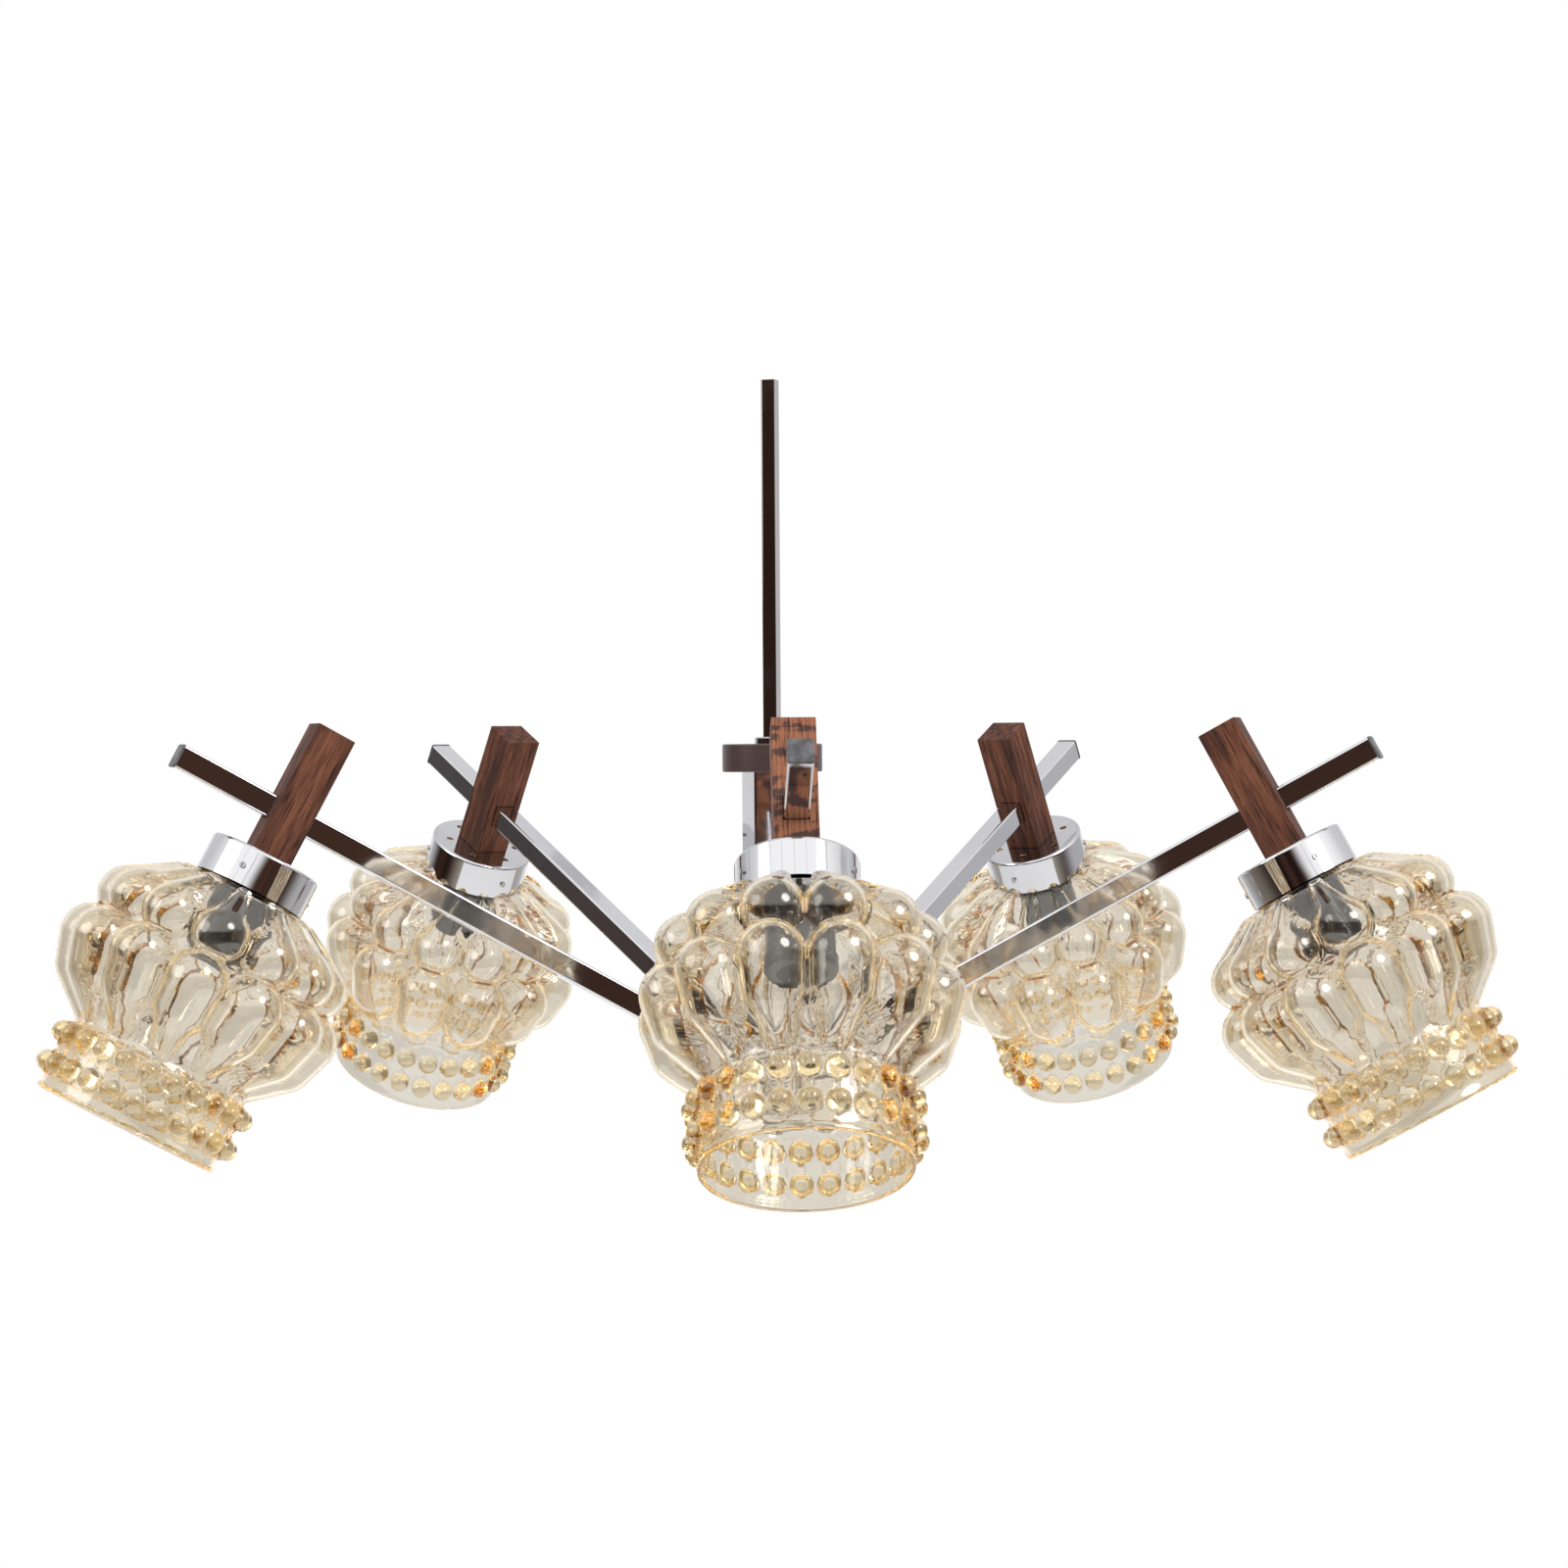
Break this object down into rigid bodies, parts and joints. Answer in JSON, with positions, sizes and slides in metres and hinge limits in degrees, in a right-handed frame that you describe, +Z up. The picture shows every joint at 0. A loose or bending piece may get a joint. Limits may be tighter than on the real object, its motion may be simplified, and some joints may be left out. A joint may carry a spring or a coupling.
{
  "type": "multi arm chandelier",
  "caption": "Hanging light with rising square chrome arms, hardwood cross blocks and bubbled lustre glass shades on chrome fitter caps.",
  "frame": {"origin": "centre of the stem's top end, where the ceiling rod screws in", "axes": "+Z up along the stem; one arm points along -Y"},
  "size_m": [0.9194, 0.8815, 0.5003],
  "materials": {
    "chrome_tube": "polished square tube",
    "chrome_cap": "polished spun cap",
    "holder_metal": "satin plated holder",
    "steel": "zinc plated steel",
    "brass": "turned brass",
    "rosewood": "oiled figured hardwood",
    "dark_plastic": "moulded plug",
    "brown_enamel": "satin brown enamel",
    "connector_plastic": "moulded terminal block",
    "flex": "sheathed flex",
    "lustre_glass": "clear blown glass with a champagne lustre"
  },
  "bodies": {
    "fixture": {"stem": "chrome_tube", "stem_bush": "brass", "stem_pin": "steel", "stem_collar": "chrome_cap", "disc": "brown_enamel", "column": "chrome_tube", "bridge": "steel", "tie_rod": "steel", "bottom_cover": "chrome_cap", "connector": "connector_plastic", "supply_wire": "flex", "arm_f": "chrome_tube", "arm_plug_f": "dark_plastic", "block_f": "rosewood", "fitter_cap_f": "chrome_cap", "gallery_screws_f": "steel", "nipple_f": "brass", "lampholder_f": "holder_metal", "arm_wire_f": "flex", "arm_rf": "chrome_tube", "arm_plug_rf": "dark_plastic", "block_rf": "rosewood", "fitter_cap_rf": "chrome_cap", "gallery_screws_rf": "steel", "nipple_rf": "brass", "lampholder_rf": "holder_metal", "arm_wire_rf": "flex", "arm_rb": "chrome_tube", "arm_plug_rb": "dark_plastic", "block_rb": "rosewood", "fitter_cap_rb": "chrome_cap", "gallery_screws_rb": "steel", "nipple_rb": "brass", "lampholder_rb": "holder_metal", "arm_wire_rb": "flex", "arm_lb": "chrome_tube", "arm_plug_lb": "dark_plastic", "block_lb": "rosewood", "fitter_cap_lb": "chrome_cap", "gallery_screws_lb": "steel", "nipple_lb": "brass", "lampholder_lb": "holder_metal", "arm_wire_lb": "flex", "arm_lf": "chrome_tube", "arm_plug_lf": "dark_plastic", "block_lf": "rosewood", "fitter_cap_lf": "chrome_cap", "gallery_screws_lf": "steel", "nipple_lf": "brass", "lampholder_lf": "holder_metal", "arm_wire_lf": "flex"},
    "finial_nut": {"finial": "chrome_cap"},
    "glass_f": {"shade_f": "lustre_glass"},
    "glass_rf": {"shade_rf": "lustre_glass"},
    "glass_rb": {"shade_rb": "lustre_glass"},
    "glass_lb": {"shade_lb": "lustre_glass"},
    "glass_lf": {"shade_lf": "lustre_glass"}
  },
  "joints": [
    {"name": "shade_drop_f", "type": "slide", "parent": "fixture", "child": "glass_f", "axis": [0, -0.4802, -0.8771], "range_m": [0, 0.08]},
    {"name": "shade_drop_rf", "type": "slide", "parent": "fixture", "child": "glass_rf", "axis": [0.4567, -0.1484, -0.8771], "range_m": [0, 0.08]},
    {"name": "shade_drop_rb", "type": "slide", "parent": "fixture", "child": "glass_rb", "axis": [0.2823, 0.3885, -0.8771], "range_m": [0, 0.08]},
    {"name": "shade_drop_lb", "type": "slide", "parent": "fixture", "child": "glass_lb", "axis": [-0.2823, 0.3885, -0.8771], "range_m": [0, 0.08]},
    {"name": "shade_drop_lf", "type": "slide", "parent": "fixture", "child": "glass_lf", "axis": [-0.4567, -0.1484, -0.8771], "range_m": [0, 0.08]},
    {"name": "finial_turn", "type": "hinge", "parent": "fixture", "child": "finial_nut", "pos_m": [0, 0, -0.48], "axis": [0, 0, 1], "continuous": true}
  ]
}
